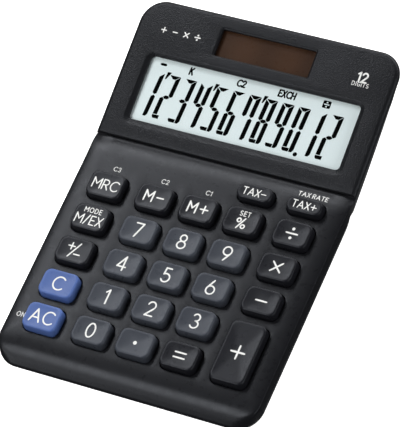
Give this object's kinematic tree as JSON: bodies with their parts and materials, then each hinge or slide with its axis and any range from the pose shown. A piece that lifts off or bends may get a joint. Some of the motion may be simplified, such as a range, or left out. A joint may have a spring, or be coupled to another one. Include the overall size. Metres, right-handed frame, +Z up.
{
  "type": "desk calculator",
  "caption": "Desk calculator with a grid of sprung push keys on a low deck and a sloping head that holds a wide display and a solar cell.",
  "frame": {"origin": "middle of the footprint, on the surface the feet stand on", "axes": "+Y towards the display end, +Z up, +X to the right of a person facing the keys"},
  "size_m": [0.1046, 0.1494, 0.0221],
  "materials": {
    "case_plastic": "fine satin, moulded",
    "panel_plastic": "pebble grain",
    "number_key_plastic": "satin",
    "function_key_plastic": "satin",
    "clear_key_plastic": "satin",
    "clear_plastic": "polished",
    "tinted_plastic": "polished",
    "solar_silicon": "gloss",
    "display_glass": "polished",
    "reflector_film": "satin",
    "white_plastic": "matt",
    "film": "satin",
    "circuit_board": "solder mask",
    "epoxy": "gloss",
    "ceramic": "matt",
    "capacitor_sleeve": "gloss",
    "silicone": "matt",
    "wire_insulation": "matt",
    "cell_steel": "bright",
    "spring_brass": "plated",
    "screw_steel": "zinc plated",
    "foot_rubber": "matt"
  },
  "bodies": {
    "case": {"upper_case": "case_plastic", "lower_case": "case_plastic", "display_panel": "panel_plastic", "display_window": "clear_plastic", "solar_window": "tinted_plastic", "solar_cell": "solar_silicon", "lcd_cell": "display_glass", "lcd_reflector": "reflector_film", "lcd_frame": "white_plastic", "lcd_flex_cable": "film", "main_board": "circuit_board", "controller_chip": "epoxy", "ceramic_capacitors": "ceramic", "storage_capacitor": "capacitor_sleeve", "dome_mat": "silicone", "solar_leads": "wire_insulation", "battery_leads": "wire_insulation", "battery_cell": "cell_steel", "battery_contact_positive": "spring_brass", "battery_contact_negative": "spring_brass", "battery_cover": "case_plastic", "battery_cover_screw": "screw_steel", "case_screws": "screw_steel", "board_screws": "screw_steel", "rubber_feet": "foot_rubber"},
    "key_0": {"key_0": "number_key_plastic"},
    "key_1": {"key_1": "number_key_plastic"},
    "key_2": {"key_2": "number_key_plastic"},
    "key_3": {"key_3": "number_key_plastic"},
    "key_4": {"key_4": "number_key_plastic"},
    "key_5": {"key_5": "number_key_plastic"},
    "key_6": {"key_6": "number_key_plastic"},
    "key_7": {"key_7": "number_key_plastic"},
    "key_8": {"key_8": "number_key_plastic"},
    "key_9": {"key_9": "number_key_plastic"},
    "key_decimal": {"key_decimal": "number_key_plastic"},
    "key_tax_minus": {"key_tax_minus": "function_key_plastic"},
    "key_tax_plus": {"key_tax_plus": "function_key_plastic"},
    "key_memory_recall": {"key_memory_recall": "function_key_plastic"},
    "key_memory_minus": {"key_memory_minus": "function_key_plastic"},
    "key_memory_plus": {"key_memory_plus": "function_key_plastic"},
    "key_percent": {"key_percent": "function_key_plastic"},
    "key_divide": {"key_divide": "function_key_plastic"},
    "key_mode": {"key_mode": "function_key_plastic"},
    "key_multiply": {"key_multiply": "function_key_plastic"},
    "key_sign": {"key_sign": "function_key_plastic"},
    "key_minus": {"key_minus": "function_key_plastic"},
    "key_plus": {"key_plus": "function_key_plastic"},
    "key_equals": {"key_equals": "function_key_plastic"},
    "key_clear": {"key_clear": "clear_key_plastic"},
    "key_all_clear": {"key_all_clear": "clear_key_plastic"}
  },
  "joints": [
    {"name": "key_0_press", "type": "slide", "parent": "case", "child": "key_0", "axis": [0, 0.0262, -0.9997], "range_m": [0, 0.0012], "stiffness_N_per_m": 400, "deforming": ["dome_mat"]},
    {"name": "key_1_press", "type": "slide", "parent": "case", "child": "key_1", "axis": [0, 0.0262, -0.9997], "range_m": [0, 0.0012], "stiffness_N_per_m": 400, "deforming": ["dome_mat"]},
    {"name": "key_2_press", "type": "slide", "parent": "case", "child": "key_2", "axis": [0, 0.0262, -0.9997], "range_m": [0, 0.0012], "stiffness_N_per_m": 400, "deforming": ["dome_mat"]},
    {"name": "key_3_press", "type": "slide", "parent": "case", "child": "key_3", "axis": [0, 0.0262, -0.9997], "range_m": [0, 0.0012], "stiffness_N_per_m": 400, "deforming": ["dome_mat"]},
    {"name": "key_4_press", "type": "slide", "parent": "case", "child": "key_4", "axis": [0, 0.0262, -0.9997], "range_m": [0, 0.0012], "stiffness_N_per_m": 400, "deforming": ["dome_mat"]},
    {"name": "key_5_press", "type": "slide", "parent": "case", "child": "key_5", "axis": [0, 0.0262, -0.9997], "range_m": [0, 0.0012], "stiffness_N_per_m": 400, "deforming": ["dome_mat"]},
    {"name": "key_6_press", "type": "slide", "parent": "case", "child": "key_6", "axis": [0, 0.0262, -0.9997], "range_m": [0, 0.0012], "stiffness_N_per_m": 400, "deforming": ["dome_mat"]},
    {"name": "key_7_press", "type": "slide", "parent": "case", "child": "key_7", "axis": [0, 0.0262, -0.9997], "range_m": [0, 0.0012], "stiffness_N_per_m": 400, "deforming": ["dome_mat"]},
    {"name": "key_8_press", "type": "slide", "parent": "case", "child": "key_8", "axis": [0, 0.0262, -0.9997], "range_m": [0, 0.0012], "stiffness_N_per_m": 400, "deforming": ["dome_mat"]},
    {"name": "key_9_press", "type": "slide", "parent": "case", "child": "key_9", "axis": [0, 0.0262, -0.9997], "range_m": [0, 0.0012], "stiffness_N_per_m": 400, "deforming": ["dome_mat"]},
    {"name": "key_decimal_press", "type": "slide", "parent": "case", "child": "key_decimal", "axis": [0, 0.0262, -0.9997], "range_m": [0, 0.0012], "stiffness_N_per_m": 400, "deforming": ["dome_mat"]},
    {"name": "key_tax_minus_press", "type": "slide", "parent": "case", "child": "key_tax_minus", "axis": [0, 0.0262, -0.9997], "range_m": [0, 0.0012], "stiffness_N_per_m": 400, "deforming": ["dome_mat"]},
    {"name": "key_tax_plus_press", "type": "slide", "parent": "case", "child": "key_tax_plus", "axis": [0, 0.0262, -0.9997], "range_m": [0, 0.0012], "stiffness_N_per_m": 400, "deforming": ["dome_mat"]},
    {"name": "key_memory_recall_press", "type": "slide", "parent": "case", "child": "key_memory_recall", "axis": [0, 0.0262, -0.9997], "range_m": [0, 0.0012], "stiffness_N_per_m": 400, "deforming": ["dome_mat"]},
    {"name": "key_memory_minus_press", "type": "slide", "parent": "case", "child": "key_memory_minus", "axis": [0, 0.0262, -0.9997], "range_m": [0, 0.0012], "stiffness_N_per_m": 400, "deforming": ["dome_mat"]},
    {"name": "key_memory_plus_press", "type": "slide", "parent": "case", "child": "key_memory_plus", "axis": [0, 0.0262, -0.9997], "range_m": [0, 0.0012], "stiffness_N_per_m": 400, "deforming": ["dome_mat"]},
    {"name": "key_percent_press", "type": "slide", "parent": "case", "child": "key_percent", "axis": [0, 0.0262, -0.9997], "range_m": [0, 0.0012], "stiffness_N_per_m": 400, "deforming": ["dome_mat"]},
    {"name": "key_divide_press", "type": "slide", "parent": "case", "child": "key_divide", "axis": [0, 0.0262, -0.9997], "range_m": [0, 0.0012], "stiffness_N_per_m": 400, "deforming": ["dome_mat"]},
    {"name": "key_mode_press", "type": "slide", "parent": "case", "child": "key_mode", "axis": [0, 0.0262, -0.9997], "range_m": [0, 0.0012], "stiffness_N_per_m": 400, "deforming": ["dome_mat"]},
    {"name": "key_multiply_press", "type": "slide", "parent": "case", "child": "key_multiply", "axis": [0, 0.0262, -0.9997], "range_m": [0, 0.0012], "stiffness_N_per_m": 400, "deforming": ["dome_mat"]},
    {"name": "key_sign_press", "type": "slide", "parent": "case", "child": "key_sign", "axis": [0, 0.0262, -0.9997], "range_m": [0, 0.0012], "stiffness_N_per_m": 400, "deforming": ["dome_mat"]},
    {"name": "key_minus_press", "type": "slide", "parent": "case", "child": "key_minus", "axis": [0, 0.0262, -0.9997], "range_m": [0, 0.0012], "stiffness_N_per_m": 400, "deforming": ["dome_mat"]},
    {"name": "key_plus_press", "type": "slide", "parent": "case", "child": "key_plus", "axis": [0, 0.0262, -0.9997], "range_m": [0, 0.0012], "stiffness_N_per_m": 400, "deforming": ["dome_mat"]},
    {"name": "key_equals_press", "type": "slide", "parent": "case", "child": "key_equals", "axis": [0, 0.0262, -0.9997], "range_m": [0, 0.0012], "stiffness_N_per_m": 400, "deforming": ["dome_mat"]},
    {"name": "key_clear_press", "type": "slide", "parent": "case", "child": "key_clear", "axis": [0, 0.0262, -0.9997], "range_m": [0, 0.0012], "stiffness_N_per_m": 400, "deforming": ["dome_mat"]},
    {"name": "key_all_clear_press", "type": "slide", "parent": "case", "child": "key_all_clear", "axis": [0, 0.0262, -0.9997], "range_m": [0, 0.0012], "stiffness_N_per_m": 400, "deforming": ["dome_mat"]}
  ]
}
